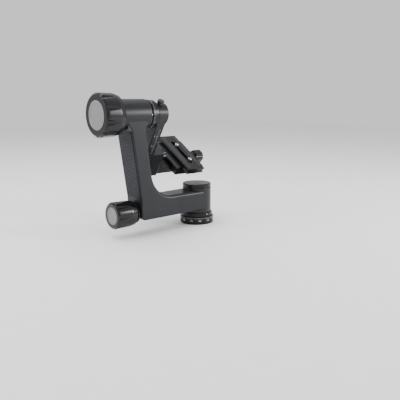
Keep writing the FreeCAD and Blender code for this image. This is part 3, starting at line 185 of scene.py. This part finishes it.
def rounded(corners, steps=5):
    """A line through (x, radius, rounding) corners, each rounded by an arc of that size."""
    line = []
    for number, (x, y, size) in enumerate(corners):
        here = Vector((x, y))
        if not size or number in (0, len(corners) - 1):
            line.append((x, y))
            continue
        back = (Vector(corners[number - 1][:2]) - here).normalized()
        ahead = (Vector(corners[number + 1][:2]) - here).normalized()
        half = back.angle(ahead) / 2
        reach = size / math.tan(half)
        centre = here + (back + ahead).normalized() * size / math.sin(half)
        first, last = here + back * reach - centre, here + ahead * reach - centre
        sweep = first.angle_signed(last)
        for step in range(steps + 1):
            turn = -sweep * step / steps
            line.append((
                centre.x + first.x * math.cos(turn) - first.y * math.sin(turn),
                centre.y + first.x * math.sin(turn) + first.y * math.cos(turn),
            ))
    return line


def filled(line, longest):
    """The same line with points added so that no stretch is longer than asked."""
    made = [line[0]]
    for a, b in zip(line, line[1:]):
        parts = max(1, math.ceil(math.dist(a, b) / longest))
        for n in range(1, parts + 1):
            made.append((a[0] + (b[0] - a[0]) * n / parts, a[1] + (b[1] - a[1]) * n / parts))
    return made


def soft_min(a, b, blend):
    """The smaller of two values, with a smooth change between them."""
    share = min(max(0.5 + 0.5 * (b - a) / blend, 0), 1)
    return b + (a - b) * share - blend * share * (1 - share)


def bands(rings, around):
    """The faces that join rings of points, each ring with the same number of points."""
    faces = []
    for ring in range(rings - 1):
        for number in range(around):
            after = (number + 1) % around
            a, b = ring * around, (ring + 1) * around
            faces.append((a + number, a + after, b + after, b + number))
    return faces


def lobed(profile, lobes, centre, flute_at, blend=0.22 * MM):
    """A knob turned about X. Cones along its rim, centre away from its axis, cut the flutes.

    flute_at gives a cone's radius at x. The points crowd at the flutes' edges, which are rounded."""
    points = []
    period = 2 * math.pi / lobes
    for x, radius in profile:
        small = max(flute_at(x), 0.0)
        cosine = (radius * radius + centre * centre - small * small) / (2 * radius * centre)
        edge = max(math.acos(min(cosine, 1.0)), 0.01)
        band = min(0.03, edge * 0.6)
        inside = [(-1 + 2 * n / 14) * (edge - band) for n in range(15)]
        rim = [edge - band + 2 * band * n / 6 for n in range(1, 7)]
        land = [edge + band + (period - 2 * edge - 2 * band) * n / 12 for n in range(1, 12)]
        offsets = inside + rim + land + [period - angle for angle in reversed(rim)]
        for number in range(lobes):
            for off in offsets:
                wide = abs(centre * math.sin(off))
                reach = radius
                if small > wide and math.cos(off) > 0:
                    inner = centre * math.cos(off) - math.sqrt(small * small - wide * wide)
                    reach = soft_min(radius, inner, blend)
                angle = number * period + off
                points.append((x, reach * math.sin(angle), reach * math.cos(angle)))
    return points, bands(len(profile), len(points) // len(profile))


def turned(profile, around=96, capped=False):
    """A shape turned about X from (x, radius) points, open at both ends or with its last ring filled."""
    points = []
    for x, radius in profile:
        for number in range(around):
            angle = 2 * math.pi * number / around
            points.append((x, radius * math.sin(angle), radius * math.cos(angle)))
    faces = bands(len(profile), around)
    if capped:
        first = (len(profile) - 1) * around
        faces.append(tuple(range(first, first + around)))
    return points, faces


# Knobs
def knob(name, body, cad_node, finish, height, size):
    """A moulded knob about X with flutes that run out before its back, and a seat for its disc."""
    radius, length, edge, disc_radius = size["radius"], size["length"], size["edge"], size["disc"]
    back = radius * 0.92
    back_chamfer = 1.6 * MM
    rim = disc_radius + 1.6 * MM
    side = [
        (0.0, rim, 0),
        (0.0, radius - edge, 0.6 * MM),
        (edge, radius, 1.0 * MM),
        (length * 0.72, radius * 0.985, 8.0 * MM),
        (length - back_chamfer, back, 1.0 * MM),
        (length, back - back_chamfer, 0.5 * MM),
        (length, size["bore"], 0),
    ]
    profile = filled(rounded(side), 1.2 * MM)
    centre = radius + size["flute"] - size["depth"]
    run = size["depth"] * size["run"] / (length * 0.86)
    points, faces = lobed(
        profile, size["lobes"], centre, lambda x: size["flute"] - run * (x + 1.0 * MM)
    )
    seat = [
        (2.0 * MM, 0.4 * MM, 0),
        (2.0 * MM, disc_radius, 0),
        (0.0, disc_radius, 0.5 * MM),
        (0.0, rim, 0),
    ]
    add(points, faces, *turned(filled(rounded(seat), 3.0 * MM)))
    where = Matrix.Translation((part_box(cad_node)[0].x, 0, height))
    made = piece(name, body, "knob_rubber", points, faces, where, finish=finish, sharp=50)
    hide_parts(cad_node)


def disc(name, body, cad_node, height):
    """A knob's grey disc, dished inside a bevelled rim."""
    low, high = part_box(cad_node)
    radius = (high.z - low.z) / 2
    side = [
        (1.5 * MM, radius, 0),
        (-0.25 * MM, radius, 0.2 * MM),
        (-0.25 * MM, radius - 0.6 * MM, 0.25 * MM),
        (1.2 * MM, radius - radius * 0.13, 0.7 * MM),
        (1.2 * MM, radius * 0.5, 0),
    ]
    points, faces = turned(rounded(side), 120, capped=True)
    where = Matrix.Translation((low.x, 0, height))
    made = piece(name, body, "disc_grey", points, faces, where, sharp=20)
    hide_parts(cad_node)


# A flute's depth is at the knob's front, and run says how soon it runs out
TILT_KNOB = dict(
    radius=33.85 * MM,
    length=34.6 * MM,
    edge=3.2 * MM,
    disc=22.4 * MM,
    bore=12.85 * MM,
    lobes=10,
    flute=6.2 * MM,
    depth=3.4 * MM,
    run=1.08,
)
PAN_KNOB = dict(
    radius=21.8 * MM,
    length=38.0 * MM,
    edge=2.4 * MM,
    disc=14.2 * MM,
    bore=4.02 * MM,
    lobes=8,
    flute=6.0 * MM,
    depth=2.0 * MM,
    run=1.15,
)
knob("tilt_knob_moulding", "tilt_knob", "tilt_knob", "knob_rubber", TILT_HEIGHT, TILT_KNOB)
knob("pan_knob_moulding", "pan_knob", "pan_knob", "pan_rubber", PAN_KNOB_HEIGHT, PAN_KNOB)
disc("tilt_disc_face", "tilt_knob", "tilt_knob_disc", TILT_HEIGHT)
disc("pan_disc_face", "pan_knob", "pan_knob_disc", PAN_KNOB_HEIGHT)


# Dial marks
DIGITS = {
    "0": [(0, 0), (0, 4), (2, 4), (2, 0), (0, 0)],
    "1": [(1, 0), (1, 4), (0.3, 3.2)],
    "2": [(0, 4), (2, 4), (2, 2.2), (0, 1.6), (0, 0), (2, 0)],
    "3": [(0, 4), (2, 4), (2, 0), (0, 0), (2, 0), (2, 2), (0.5, 2)],
    "4": [(1.6, 0), (1.6, 4), (0, 1.3), (2, 1.3)],
    "5": [(2, 4), (0, 4), (0, 2.3), (2, 2), (2, 0), (0, 0)],
    "6": [(2, 4), (0, 4), (0, 0), (2, 0), (2, 2), (0, 2)],
    "7": [(0, 4), (2, 4), (0.7, 0)],
    "8": [(0, 0), (0, 4), (2, 4), (2, 0), (0, 0), (0, 2), (2, 2)],
    "9": [(0, 0), (2, 0), (2, 4), (0, 4), (0, 2), (2, 2)],
}


def stroke(a, b, width):
    """The corners of a flat stroke that reaches a little past two points of a drawing."""
    run = math.hypot(b[0] - a[0], b[1] - a[1])
    ux, uy = (b[0] - a[0]) / run, (b[1] - a[1]) / run
    h = width / 2
    a = (a[0] - ux * h * 0.8, a[1] - uy * h * 0.8)
    b = (b[0] + ux * h * 0.8, b[1] + uy * h * 0.8)
    return [
        (a[0] - uy * h, a[1] + ux * h),
        (b[0] - uy * h, b[1] + ux * h),
        (b[0] + uy * h, b[1] - ux * h),
        (a[0] + uy * h, a[1] - ux * h),
    ]


def number_strokes(text, across, up, height, width):
    """The strokes of a plain number centred at (across, up)."""
    unit = height / 4
    total = len(text) * 2.9 * unit - 0.9 * unit
    made = []
    for place, digit in enumerate(text):
        left = across - total / 2 + place * 2.9 * unit
        path = [(left + u * unit, up - height / 2 + v * unit) for u, v in DIGITS[digit]]
        made += [stroke(a, b, width) for a, b in zip(path, path[1:])]
    return made


# A thin slab's faces, whose first four points lie under the surface and whose last four lie on it
SLAB = [(4, 5, 6, 7), (3, 2, 1, 0), (0, 1, 5, 4), (1, 2, 6, 5), (2, 3, 7, 6), (3, 0, 4, 7)]


def marks(name, body, quads, onto, where=UPRIGHT):
    """Painted marks: flat strokes laid on a surface by a function of (across, up, lift)."""
    points, faces = [], []
    for quad in quads:
        low = [onto(u, v, -0.02 * MM) for u, v in quad]
        high = [onto(u, v, 0.03 * MM) for u, v in quad]
        add(points, faces, low + high, SLAB)
    piece(name, body, "disc_grey", points, faces, where, finish="paint_white", sharp=30)


def tick_length(step, every_long, every_middle, lengths):
    """A mark's length: long, middle or short by how its step number divides."""
    if step % every_long == 0:
        return lengths[0]
    return lengths[1] if step % every_middle == 0 else lengths[2]


def pan_scale():
    """Degree marks and numbers round the base's index ring."""
    def onto(u, v, lift):
        angle = u / PAN_RING_RADIUS
        reach = PAN_RING_RADIUS + lift
        return (reach * math.cos(angle), reach * math.sin(angle), v)

    top = PAN_RING_MARKS_TOP
    quads = []
    for step in range(72):
        across = PAN_RING_RADIUS * math.radians(step * 5)
        long = tick_length(step, 6, 2, (2.9, 2.2, 1.4))
        quads.append(stroke((across, top), (across, top - long * MM), 0.34 * MM))
        if step % 6 == 0:
            quads += number_strokes(str(step * 5), across, top - 5.2 * MM, 2.3 * MM, 0.3 * MM)
    marks("pan_scale", "base", quads, onto)


def tilt_scale():
    """Degree marks round the tilt index ring, which turns with the arm."""
    surface_radius = TILT_RING_RADIUS - 0.12 * MM

    def onto(u, v, lift):
        angle = v / surface_radius
        reach = surface_radius + lift
        return (u, -reach * math.sin(angle), -reach * math.cos(angle))

    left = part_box("tilt_index_ring")[0].x + 1.0 * MM
    quads = []
    for step in range(72):
        up = TILT_RING_RADIUS * math.radians(step * 5)
        long = tick_length(step, 6, 2, (3.8, 2.6, 1.6))
        quads.append(stroke((left, up), (left + long * MM, up), 0.26 * MM))
    marks("tilt_scale", "swing_arm", quads, onto, TILTED)


def arm_scale():
    """Height marks up the swing arm's rear edge."""
    def onto(u, v, lift):
        return (u, -ARM_HALF_WIDTH - lift, v)

    right = ARM_EDGE_MIDDLE + 4.2 * MM
    quads = []
    for step in range(24):
        up = (-112.0 + step * 4) * MM
        long = 4.4 if step % 5 == 0 else 2.6
        quads.append(stroke((right, up), (ARM_EDGE_MIDDLE + (4.2 - long) * MM, up), 0.36 * MM))
        if step % 5 == 0:
            across = ARM_EDGE_MIDDLE - 3.4 * MM
            quads += number_strokes(str(step // 5), across, up, 2.8 * MM, 0.36 * MM)
    marks("arm_scale", "swing_arm", quads, onto, TILTED)


def dot(name, body, centre, radius=0.95 * MM, count=20):
    """A small painted index dot that faces -Y."""
    turn = Vector((0, 0, 1)).rotation_difference(Vector((0, -1, 0))).to_matrix()
    points = []
    for lift in (-0.1 * MM, 0.06 * MM):
        for number in range(count):
            angle = 2 * math.pi * number / count
            flat = Vector((radius * math.cos(angle), radius * math.sin(angle), lift))
            points.append(tuple(Vector(centre) + turn @ flat))
    faces = [tuple(range(count - 1, -1, -1)), tuple(range(count, 2 * count))]
    for number in range(count):
        after = (number + 1) % count
        faces.append((number, after, count + after, count + number))
    piece(name, body, "disc_grey", points, faces, finish="paint_white")


pan_scale()
tilt_scale()
dot("tilt_index_dot", "frame", (-112.8 * MM, -TUBE_RADIUS, TILT_HEIGHT))
dot("pan_index_dot", "frame", (0, -SKIRT_RADIUS, 17.5 * MM))
arm_scale()


# Floor, light and camera
def floor(half=3.0):
    mesh = bpy.data.meshes.new("floor")
    corners = [(-half, -half, 0), (half, -half, 0), (half, half, 0), (-half, half, 0)]
    mesh.from_pydata(corners, [], [(0, 1, 2, 3)])
    made = bpy.data.objects.new("floor", mesh)
    bpy.context.scene.collection.objects.link(made)
    mesh.materials.append(surface("floor_pale", (0.93, 0.93, 0.93), 0.8, vary=0.01))


def aim(thing, where, target):
    """Puts a lamp or camera somewhere, looking at a target."""
    thing.location = where
    thing.rotation_euler = (Vector(target) - Vector(where)).to_track_quat("-Z", "Y").to_euler()
    bpy.context.scene.collection.objects.link(thing)


def area(name, where, target, power, width, height):
    light = bpy.data.lights.new(name, "AREA")
    light.shape = "RECTANGLE"
    light.size = width
    light.size_y = height
    light.energy = power
    aim(bpy.data.objects.new(name, light), where, target)


floor()
world = bpy.data.worlds.new("studio")
bpy.context.scene.world = world
world.use_nodes = True
backdrop = world.node_tree.nodes["Background"]
backdrop.inputs["Color"].default_value = (1, 1, 1, 1)
backdrop.inputs["Strength"].default_value = 0.9

area("key", (0.8, -1.0, 0.5), (-0.1, 0, 0.16), power=14, width=0.3, height=0.42)
area("top", (-0.2, 0.3, 1.5), (-0.08, 0, 0.1), power=20, width=1.3, height=1.3)
area("left", (-1.2, 0.35, 0.6), (-0.08, 0, 0.12), power=7, width=0.5, height=0.5)

lens = bpy.data.cameras.new("camera")
lens.sensor_width = 36.0
lens.lens = 45.3
camera = bpy.data.objects.new("camera", lens)
aim(camera, (-0.5879, -0.6712, 0.2212), (0.00805, 0, 0.03792))
bpy.context.scene.camera = camera
